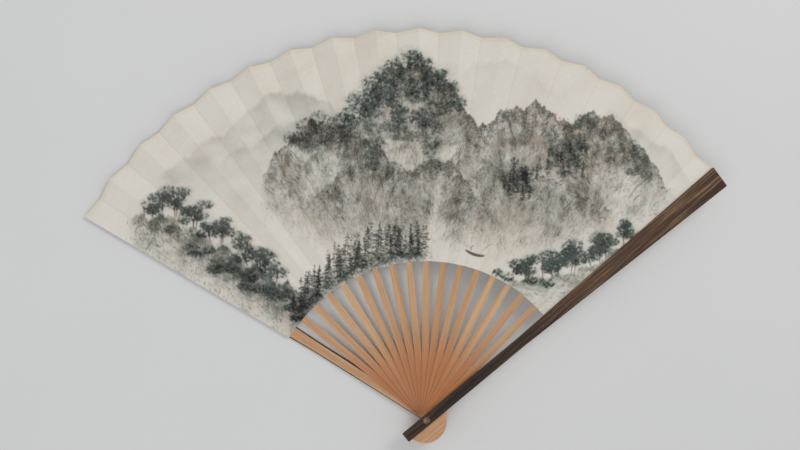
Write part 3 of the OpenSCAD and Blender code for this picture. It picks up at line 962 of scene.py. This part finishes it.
def back_edge(points, hem):
    """The leaf's free edge over the back guard: the crease's points, moved sideways until they stand out past
    the guard's facing by the hem. The facing's half width is taken as even from corner to corner."""
    x, y, _ = stick_points("back_guard_facing", 0)
    far = x > x.max() - 1e-5
    flare = x[(x > 0) & ~far].max()
    half = np.interp(np.hypot(points[..., 0], points[..., 1]), [flare, x.max()],
                     [np.abs(y[np.abs(x - flare) < 1e-5]).max(), np.abs(y[far]).max()])
    angle = stick_angle(0)
    along = points[..., 0] * np.cos(angle) + points[..., 1] * np.sin(angle)
    side = half + hem
    return np.stack([along * np.cos(angle) - side * np.sin(angle),
                     along * np.sin(angle) + side * np.cos(angle), points[..., 2]], -1)


def leaf_surface(valley, mountain, leaf, land, turn):
    """One panel between two creases, as a thin closed shell.

    A point is (1 - u) * valley crease + u * mountain crease, with v from the inner edge to the rim. The front
    stands above it by the paper's thickness, plus a swell of sin(pi * u) times three sines along v, plus the
    ghost of the tongue, plus the binding along the rim. The back hangs below it where the tongue lies.
    Gives the points, the faces, the attributes and the share u of every point."""
    u = np.linspace(0, 1, leaf.across + 1)[None, :]
    v = np.linspace(0, 1, leaf.along + 1)[:, None]
    low = crease(*valley, mix(LEAF_INNER, LEAF_VALLEY, v))
    high = crease(*mountain, mix(LEAF_INNER, LEAF_PEAK, v))
    if valley[0] == mountain[0] == 0:
        high = back_edge(high, leaf.hem)
    sheet = mix(low, high, u[..., None])
    chance = np.random.default_rng(100 * valley[0] + mountain[0])
    swell = sum(np.sin(v * turns + chance.random() * 6.28) for turns in (9.0, 17.0, 31.0)) / 3
    rise = leaf.wave * np.sin(np.pi * u) * swell
    radius = np.hypot(sheet[..., 0], sheet[..., 1])
    to_rim = (1 - v) * (mix(LEAF_VALLEY, LEAF_PEAK, u) - LEAF_INNER)
    bound = leaf.rim_rise * (1 - smooth(leaf.rim - 0.0003, leaf.rim + 0.0003, to_rim))
    hang = bound.copy()
    glued = valley[0] == mountain[0] and 0 < valley[0] < FRONT
    if glued:
        angle = stick_angle(valley[0])
        aside = np.abs(sheet[..., 1] * np.cos(angle) - sheet[..., 0] * np.sin(angle))
        end = stick_points(BODIES[valley[0]], valley[0])[0].max()
        inside = 1 - smooth(end, end + 0.002, radius)
        rise = rise + leaf.ghost * inside * (1 - smooth(leaf.tongue_half, leaf.tongue_half + 0.0009, aside))
        hang = hang + leaf.tongue_depth * inside * (
            1 - smooth(leaf.tongue_half + 0.0001, leaf.tongue_half + 0.0011, aside))
    front = sheet.copy()
    front[..., 2] += 0.8 * PAPER + rise + bound
    back = sheet[:, ::-1].copy()
    back[..., 2] += 0.1 * PAPER - hang[:, ::-1]
    points = np.concatenate([front, back], 1)
    columns = points.shape[1]
    across = leaf.across
    ends = []
    for row in (0, leaf.along):
        start = row * columns
        j = np.arange(across)
        ends.append(np.stack([start + j, start + j + 1, start + columns - 2 - j, start + columns - 1 - j],
                             -1))
    inner = ends[0][:, ::-1]
    faces = np.concatenate([grid_faces(leaf.along + 1, columns, closed=True), inner, ends[1]])
    level = np.array([[np.cos(turn), np.sin(turn)], [-np.sin(turn), np.cos(turn)]])
    spot = front[..., :2] @ level * 1000
    paint = np.ones((*points.shape[:2], 4))
    paint[:, :across + 1, :3] = land.take(spot[..., 0], spot[..., 1])
    wide = radius * np.linalg.norm(high - low, axis=-1) / np.hypot(low[..., 0], low[..., 1])
    edges = np.stack([(1 - u) * wide, u * wide, to_rim + 0 * u], -1)
    edges = np.concatenate([edges, edges[:, ::-1]], 1)
    place = points.copy()
    place[:, across + 1:, 2] += 0.05
    attributes = (
        ("paint", "FLOAT_COLOR", paint.reshape(-1, 4)),
        ("paper_at", "FLOAT_VECTOR", place.reshape(-1, 3)),
        ("edges", "FLOAT_VECTOR", edges.reshape(-1, 3)),
    )
    share = np.concatenate([u + 0 * v, (u + 0 * v)[:, ::-1]], 1)
    return points.reshape(-1, 3), faces, attributes, share.ravel()


def make_panel(k, leaf, land, turn, material):
    """The panel that is glued to stick k and moves with it."""
    points, faces, attributes, _ = leaf_surface((k, -1), (k, 1), leaf, land, turn)
    piece = make_piece(f"leaf_on_{BODIES[k]}", points, faces, attributes, material)
    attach(piece, BODIES[k])
    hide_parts(f"leaf_panel_{k:02d}")


def make_fold(k, leaf, land, turn, material):
    """The loose panel between sticks k - 1 and k, fixed at its place at rest."""
    points, faces, attributes, share = leaf_surface((k - 1, -1), (k, 1), leaf, land, turn)
    piece = make_piece(f"leaf_fold_{k:02d}_paper", points, faces, attributes, material)
    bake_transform(piece)
    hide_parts(f"leaf_fold_{k:02d}")


# ---------------------------------------------------------------- the sticks

def stick_points(name, k):
    """A CAD stick's corners, turned back so that it lies along +X."""
    points = node_points(name)
    angle = -stick_angle(k)
    x = points[:, 0] * np.cos(angle) - points[:, 1] * np.sin(angle)
    y = points[:, 0] * np.sin(angle) + points[:, 1] * np.cos(angle)
    return x, y, points[:, 2]


def cheek_edges(x, straight, sticks):
    """Where a cheek's two edges lie at each x: the straight side or the circle's top at the left, and at the
    right the circle, then the round inside corner, then the stick's own edge. Beyond the cheek both are 0."""
    radius = sticks.cheek
    run = np.clip(x + sticks.cheek_back, -radius, radius)
    rise = np.sqrt(radius ** 2 - run ** 2)
    neck_y = straight + sticks.neck
    neck_x = np.sqrt((radius + sticks.neck) ** 2 - (neck_y - sticks.cheek_side) ** 2) - sticks.cheek_back
    touch = (neck_x + sticks.cheek_back) * radius / (radius + sticks.neck) - sticks.cheek_back
    left = np.where(x < 0, np.minimum(straight, rise - sticks.cheek_side), -1.0)
    left = np.where(x < -radius - sticks.cheek_back, -1.0, left)
    hollow = neck_y - np.sqrt(np.clip(sticks.neck ** 2 - (x - neck_x) ** 2, 0, None))
    right = np.where(x < touch, sticks.cheek_side + rise, hollow)
    right = np.where((x < -radius - sticks.cheek_back) | (x > neck_x), -1.0, right)
    return left, right


def cheek_stations(straight, sticks):
    """Places along a stick that follow its cheek evenly round the circle and the inside corner."""
    radius = sticks.cheek
    neck_y = straight + sticks.neck
    reach = np.sqrt((radius + sticks.neck) ** 2 - (neck_y - sticks.cheek_side) ** 2)
    last = np.pi - np.arcsin((neck_y - sticks.cheek_side) / (radius + sticks.neck))
    round_part = -sticks.cheek_back - radius * np.cos(np.linspace(0, last, 72))
    corner = np.linspace(round_part[-1], reach - sticks.cheek_back, 12)[1:]
    return np.concatenate([round_part, corner])


def blunt_end(x, tip, inward, corner, half):
    """How much narrower a stick's side is near a blunt end with rounded corners: corner less
    sqrt(corner ** 2 - (corner - distance) ** 2), so that the corners are quarter circles."""
    away = np.clip(inward * (x - tip), 0, corner)
    return half - (corner - np.sqrt(corner ** 2 - (corner - away) ** 2))


def stick_piece(name, k, x, left, right, low, high, shape, material, tone):
    """A stick as a rounded section carried along its line.

    At each x the section runs from the left edge to the right one and from low to high. Its long edges are
    quarter circles of the edge radius, set in from the outline along its own normal, and each wide face falls
    off by crown * (2c - 1) ** 2 towards its edges. The section is then turned about the stick's line."""
    count = len(x)
    sides = []
    for y, inward in ((left, -1.0), (right, 1.0)):
        run = np.gradient(x)
        climb = np.gradient(y)
        size = np.hypot(run, climb)
        normal = np.stack([-inward * climb / size, inward * run / size], -1)
        sides.append((np.stack([x, y], -1), normal))
    pointed = (left[0] - right[0] < 1e-6, left[-1] - right[-1] < 1e-6)
    for _, normal in sides:
        normal[0] = (1.0, 0.0)
        normal[-1] = (-1.0, 0.0)
    edge = np.minimum(shape["edge"], 0.45 * (high - low))[:, None]
    bow = np.radians([90.0, 90.0, 67.5, 45.0, 22.5, 0.0, 0.0, -22.5, -45.0, -67.5, -90.0, -90.0])[None, :]
    inset = edge * (1 - np.cos(bow))
    inset[:, 0] *= 1.35
    inset[:, -1] *= 1.35
    upper = np.arange(12)[None, :] < 6
    crown_top, crown_low = shape["crown"]
    level = np.where(upper, high[:, None] - crown_top - edge, low[:, None] + crown_low + edge)
    level = level + edge * np.sin(bow)
    # Painted highlight and wear: each rounded long edge is made paler, most halfway round it.
    edge_wear_and_highlight = 0.75 * np.sin(2 * np.abs(bow)) + 0.0 * edge
    rims = [np.concatenate([outline[:, None, :] + inset[..., None] * normal[:, None, :], level[..., None]], -1)
            for outline, normal in sides]
    c = (np.arange(1, 6) / 6)[None, :, None]

    def face(at, crown):
        """The points across a wide face, between the two rims' own points number at."""
        points = mix(rims[0][:, at][:, None, :], rims[1][:, at][:, None, :], c)
        points[..., 2] += crown * (1 - (2 * c[..., 0] - 1) ** 2)
        return points

    top = face(0, crown_top)
    under = face(11, -crown_low)
    ring = np.concatenate([rims[0], under, rims[1][:, ::-1], top[:, ::-1]], 1)
    wear_and_highlight = np.concatenate([edge_wear_and_highlight, np.zeros((count, 5)), edge_wear_and_highlight[:, ::-1], np.zeros((count, 5))], 1)
    faces = [grid_faces(count, ring.shape[1], closed=True)]
    parts = [ring.reshape(-1, 3)]
    wear_and_highlight_parts = [wear_and_highlight.ravel()]
    for row, closed in ((0, pointed[0]), (count - 1, pointed[1])):
        if closed:
            continue
        middle = mix(rims[0][row][:, None, :], rims[1][row][:, None, :], c[:, :, :])
        middle[0] = top[row]
        middle[-1] = under[row]
        cap = np.concatenate([rims[0][row][:, None, :], middle, rims[1][row][:, None, :]], 1)
        start = sum(len(part) for part in parts)
        quads = grid_faces(*cap.shape[:2], start=start)
        faces.append(quads if row == 0 else quads[:, ::-1])
        parts.append(cap.reshape(-1, 3))
        wear_and_highlight_parts.append(np.repeat(edge_wear_and_highlight[row], cap.shape[1]))
    local = np.concatenate(parts)
    wear_and_highlight = np.concatenate(wear_and_highlight_parts)
    chance = np.random.default_rng(500 + 7 * k + len(name))
    grain = local + np.array([chance.random() * 3, chance.random(), chance.random()])
    turn = np.interp(local[:, 0], x, shape["turn"])
    y = local[:, 1] * np.cos(turn) - local[:, 2] * np.sin(turn)
    z = local[:, 1] * np.sin(turn) + local[:, 2] * np.cos(turn)
    angle = stick_angle(k)
    points = np.stack([local[:, 0] * np.cos(angle) - y * np.sin(angle),
                       local[:, 0] * np.sin(angle) + y * np.cos(angle), z + shape["z"]], -1)
    dark, ruddy, pale = (np.interp(local[:, 0], x, value + 0 * x) for value in tone)
    # Tone Z: how much paler the rounded edges are painted, for wear and as a highlight.
    tones = np.stack([dark, ruddy, pale * wear_and_highlight], -1)
    attributes = (("grain", "FLOAT_VECTOR", grain), ("tone", "FLOAT_VECTOR", np.clip(tones, 0, 1)))
    piece = make_piece(name, points, np.concatenate(faces), attributes, material, merge=True)
    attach(piece, BODIES[k])
    return piece


def make_rib(k, sticks, material):
    """Rib k: a thin blade with its round cheek, twisted and thinned into the tongue under the leaf."""
    x, y, z = stick_points(f"rib_{k:02d}", k)
    head = x < 0.03
    half = y[head].max()
    middle = (z[head].min() + z[head].max()) / 2
    thick = np.ptp(z[head])
    end = x.max() - 0.0001
    start = LEAF_INNER - sticks.twist
    stations = np.concatenate([
        cheek_stations(half, sticks), np.arange(0.022, start, 0.005), np.linspace(start, LEAF_INNER, 22),
        np.arange(LEAF_INNER + 0.005, end - 0.002, 0.008),
        end - 0.001 * (1 - np.sin(np.linspace(0, np.pi / 2, 5)))])
    share = np.clip((stations - start) / (LEAF_INNER - start), 0, 1)
    edge_y = mix(half, sticks.tongue_half, share)
    edge_y = np.where(stations > end - 0.001, blunt_end(stations, end, -1, 0.001, sticks.tongue_half), edge_y)
    left, right = cheek_edges(stations, half, sticks)
    left = np.where(stations < 0, left, edge_y)
    left[0] = -sticks.cheek_side
    right = np.where(right < 0, edge_y, right)
    right[0] = sticks.cheek_side
    chance = np.random.default_rng(40 + k)
    shape = {"edge": sticks.edge, "crown": (sticks.crown / 2, sticks.crown / 2), "z": middle,
             "turn": pleat_tilt(k) * share}
    low = mix(-thick / 2, -sticks.tongue_deep, share)
    high = mix(thick / 2, -0.00002, share)
    # Darker and redder towards the rivet, plus a random tone for each rib. The last number is how strongly the
    # rounded edges are paled, for wear and as a painted highlight.
    near_rivet = 1 - smooth(0.030, 0.095, stations)
    tone = (chance.uniform(0.0, 0.3) + 0.30 * near_rivet, chance.uniform(0.0, 0.18) + 0.66 * near_rivet, 0.35)
    piece = stick_piece(f"rib_{k:02d}_bamboo", k, stations, left, -right, low, high, shape, material, tone)
    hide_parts(f"rib_{k:02d}")


def guard_strip(name, k, sticks):
    """Stations along a guard's strip and half its width at each. The strip is even up to its flare and widens
    evenly to its far end, and its corners are rounded. Its tail, end and widths are the CAD node's."""
    x, y, _ = stick_points(name, k)
    tail, end = x.min(), x.max()
    tail_half = np.abs(y[x < tail + 1e-5]).max()
    end_half = np.abs(y[x > end - 1e-5]).max()
    if name == "back_guard_facing":
        end -= sticks.back_short
    flare = LEAF_INNER - sticks.flare_inside
    corner = sticks.guard_corner
    bend = corner * (1 - np.cos(np.linspace(0, np.pi / 2, 8)))
    along = np.concatenate([tail + bend, np.arange(tail + 0.004, end - 0.004, 0.005), [flare], end - bend])

    def half(x):
        wide = mix(tail_half, end_half, np.clip((x - flare) / (end - flare), 0, 1))
        wide = np.where(x < tail + corner, blunt_end(x, tail, 1, corner, wide), wide)
        return np.where(x > end - corner, blunt_end(x, end, -1, corner, wide), wide)

    return np.unique(along.round(7)), half, tail_half


def make_core(k, name, sticks, material):
    """A guard's bamboo core: its strip and round cheek in one, thinned on its inner face under the leaf."""
    strip, half, straight = guard_strip(name, k, sticks)
    thin_start, thin_end = sticks.thin_start, LEAF_INNER - sticks.thin_inside
    x = np.concatenate([strip, cheek_stations(straight, sticks), [thin_start, thin_end]])
    x = np.unique(x[x >= strip[0]].round(7))
    left, right = cheek_edges(x, straight, sticks)
    low, high = node_span(name, 2)
    share = np.clip((x - thin_start) / (thin_end - thin_start), 0, 1)
    if k == 0:
        bottom = np.full(len(x), low)
        top = mix(high, node_span("leaf_panel_00", 2)[0], share)
    else:
        top = np.full(len(x), high)
        bottom = mix(low, node_span(f"leaf_panel_{k:02d}", 2)[1], share)
    shape = {"edge": sticks.guard_edge, "crown": (0.0, 0.0), "z": 0.0, "turn": 0 * x}
    # The last tone number is how strongly the rounded edges are paled, for wear and as a painted highlight.
    piece = stick_piece(f"{name}_bamboo", k, x, np.maximum(left, half(x)), -np.maximum(right, half(x)),
                        bottom, top, shape, material, (0.16, 0.24, 0.85))
    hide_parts(name)


def make_facing(k, name, sticks, material):
    """A guard's dark facing: a flat strip whose outer face swells a little."""
    x, half, _ = guard_strip(name, k, sticks)
    low, high = node_span(name, 2)
    crown = (0.0, 3 * sticks.crown) if k == 0 else (3 * sticks.crown, 0.0)
    shape = {"edge": sticks.guard_edge * 0.8, "crown": crown, "z": 0.0, "turn": 0 * x}
    # The last tone number is how strongly the rounded edges are lightened, for wear and as a painted
    # highlight.
    piece = stick_piece(f"{name}_wood", k, x, half(x), -half(x), np.full(len(x), low), np.full(len(x), high),
                        shape, material, (0.8 * (1 - smooth(0.03, 0.22, x)), 0.0, 0.3))
    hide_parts(name)


# ---------------------------------------------------------------- the rivet

def turned_piece(name, radius, height, material):
    """A round piece turned about the rivet's axis: the profile (radius, height) carried round a circle,
    closed at its first and last points on the axis."""
    around = np.linspace(0, 2 * np.pi, 65)[:-1][None, :]
    points = np.stack([radius[:, None] * np.cos(around), radius[:, None] * np.sin(around),
                       height[:, None] + 0 * around], -1)
    faces = grid_faces(len(radius), 64, closed=True)
    return make_piece(name, points.reshape(-1, 3), faces, (), material, merge=True)


def make_caps(rivet):
    """The two horn caps: a low dome on the front facing, and a flat disc with a soft edge at the back."""
    material = horn_finish(rivet)
    frame["nodes"]["rivet_pin"].data.materials.clear()
    frame["nodes"]["rivet_pin"].data.materials.append(material)
    low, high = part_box("rivet_cap_front")
    wide = high[0]
    floor = node_span("front_guard_facing", 2)[1]
    bow = np.linspace(0, np.pi / 2, 12)
    radius = np.concatenate([[0.0, 0.6 * wide], wide * np.cos(bow[:-1]) ** 0.8, [0.0]])
    height = np.concatenate([[floor, floor], mix(floor, high[2], np.sin(bow[:-1]) ** 0.9), [high[2]]])
    front = turned_piece("rivet_cap_front_horn", radius, height, material)
    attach(front, "back_guard")
    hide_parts("rivet_cap_front")
    low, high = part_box("rivet_cap_back")
    soft = 0.0003 * (1 - np.cos(bow))
    radius = np.concatenate([[0.0], wide - 0.0003 + 0.0003 * np.sin(bow), [wide, 0.0]])
    height = np.concatenate([[low[2] - 0.00003], low[2] - 0.00003 + soft, [high[2], high[2]]])
    back = turned_piece("rivet_cap_back_horn", radius, height, material)
    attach(back, "back_guard")
    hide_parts("rivet_cap_back")


# ---------------------------------------------------------------- the stage

def area_light(name, place, target, size, power, tint):
    """A square soft light at place that shines towards target."""
    lamp = bpy.data.lights.new(name, "AREA")
    lamp.energy = power
    lamp.size = size
    lamp.color = tint
    holder = bpy.data.objects.new(name, lamp)
    bpy.context.scene.collection.objects.link(holder)
    holder.location = place
    holder.rotation_euler = (Vector(target) - Vector(place)).to_track_quat("-Z", "Y").to_euler()


def make_stage(stage):
    """The floor, two area lights, the even sky and the camera."""
    half = stage.floor / 2
    level = CAD_BOX[0][2] - 0.0001
    corners = np.array([[-half, -half, level], [half, -half, level], [half, half, level],
                        [-half, half, level]])
    mesh = bpy.data.meshes.new("floor")
    mesh.from_pydata(corners.tolist(), [], [(0, 1, 2, 3)])
    mesh.materials.append(floor_finish(stage))
    floor = bpy.data.objects.new("floor", mesh)
    bpy.context.scene.collection.objects.link(floor)
    area_light("key_light", (0.75, 1.05, 1.25), (0.0, 0.15, 0.0), 0.7, stage.key, (1.0, 0.985, 0.96))
    area_light("fill_light", (-0.5, -0.2, 1.6), (0.0, 0.15, 0.0), 1.4, stage.fill, (0.97, 0.985, 1.0))
    world = bpy.data.worlds.new("soft_sky")
    world.use_nodes = True
    world.node_tree.nodes["Background"].inputs["Color"].default_value = (0.97, 0.98, 1.0, 1.0)
    world.node_tree.nodes["Background"].inputs["Strength"].default_value = stage.sky
    bpy.context.scene.world = world
    view = bpy.data.cameras.new("camera")
    view.lens = stage.lens
    view.sensor_width = 36.0
    view.clip_start = 0.01
    camera = bpy.data.objects.new("camera", view)
    camera.location = stage.camera_place
    camera.rotation_euler = stage.camera_turn
    bpy.context.scene.collection.objects.link(camera)
    bpy.context.scene.camera = camera
    bpy.context.scene.view_settings.view_transform = "Standard"


# ---------------------------------------------------------------- the add-on

class FAN_OT_leaf(bpy.types.Operator):
    """Makes the pleated paper leaf with its ink landscape"""

    bl_idname = "fan.leaf"
    bl_label = "Make Leaf"

    def execute(self, context):
        leaf = context.scene.fan_leaf
        painting = context.scene.fan_painting
        land = paint_landscape(painting)
        material = paper_finish(leaf)
        for k in range(FRONT + 1):
            make_panel(k, leaf, land, painting.turn, material)
        for k in range(1, FRONT + 1):
            make_fold(k, leaf, land, painting.turn, material)
        return {"FINISHED"}


class FAN_OT_ribs(bpy.types.Operator):
    """Makes the inner ribs"""

    bl_idname = "fan.ribs"
    bl_label = "Make Ribs"

    def execute(self, context):
        sticks = context.scene.fan_sticks
        material = bamboo_finish("rib_bamboo", tuple(sticks.bamboo), tuple(sticks.bamboo_dark), 0.45)
        for k in RIBS:
            make_rib(k, sticks, material)
        return {"FINISHED"}


class FAN_OT_guards(bpy.types.Operator):
    """Makes the two guards, each a bamboo core with a dark facing"""

    bl_idname = "fan.guards"
    bl_label = "Make Guards"

    def execute(self, context):
        sticks = context.scene.fan_sticks
        bamboo = bamboo_finish("guard_bamboo", tuple(sticks.pale), tuple(sticks.pale_dark), 0.55)
        wood = facing_finish(sticks)
        for k, name in ((0, "back_guard"), (FRONT, "front_guard")):
            make_core(k, name, sticks, bamboo)
            make_facing(k, f"{name}_facing", sticks, wood)
        return {"FINISHED"}


class FAN_OT_rivet(bpy.types.Operator):
    """Makes the rivet's horn caps and finishes its pin"""

    bl_idname = "fan.rivet"
    bl_label = "Make Rivet"

    def execute(self, context):
        make_caps(context.scene.fan_rivet)
        return {"FINISHED"}


class FAN_OT_stage(bpy.types.Operator):
    """Makes the floor, the lights and the camera"""

    bl_idname = "fan.stage"
    bl_label = "Make Stage"

    def execute(self, context):
        make_stage(context.scene.fan_stage)
        return {"FINISHED"}


class FAN_PT_panel(bpy.types.Panel):
    """Lists the fan's settings and the buttons that make its pieces"""

    bl_idname = "FAN_PT_panel"
    bl_label = "Hand Fan"
    bl_space_type = "VIEW_3D"
    bl_region_type = "UI"
    bl_category = "Hand Fan"

    def draw(self, context):
        for key, group in SETTINGS.items():
            box = self.layout.box()
            box.label(text=group.__doc__)
            for name in group.__annotations__:
                box.prop(getattr(context.scene, key), name)
        for operator in OPERATORS:
            self.layout.operator(operator.bl_idname)


OPERATORS = (FAN_OT_leaf, FAN_OT_ribs, FAN_OT_guards, FAN_OT_rivet, FAN_OT_stage)


def register():
    for group in (*SETTINGS.values(), *OPERATORS, FAN_PT_panel):
        bpy.utils.register_class(group)
    for key, group in SETTINGS.items():
        setattr(bpy.types.Scene, key, bpy.props.PointerProperty(type=group))


def unregister():
    for key in SETTINGS:
        delattr(bpy.types.Scene, key)
    for group in (FAN_PT_panel, *OPERATORS, *SETTINGS.values()):
        bpy.utils.unregister_class(group)


def main():
    register()
    bpy.ops.fan.leaf()
    bpy.ops.fan.ribs()
    bpy.ops.fan.guards()
    bpy.ops.fan.rivet()
    bpy.ops.fan.stage()


if __name__ == "__main__":
    main()
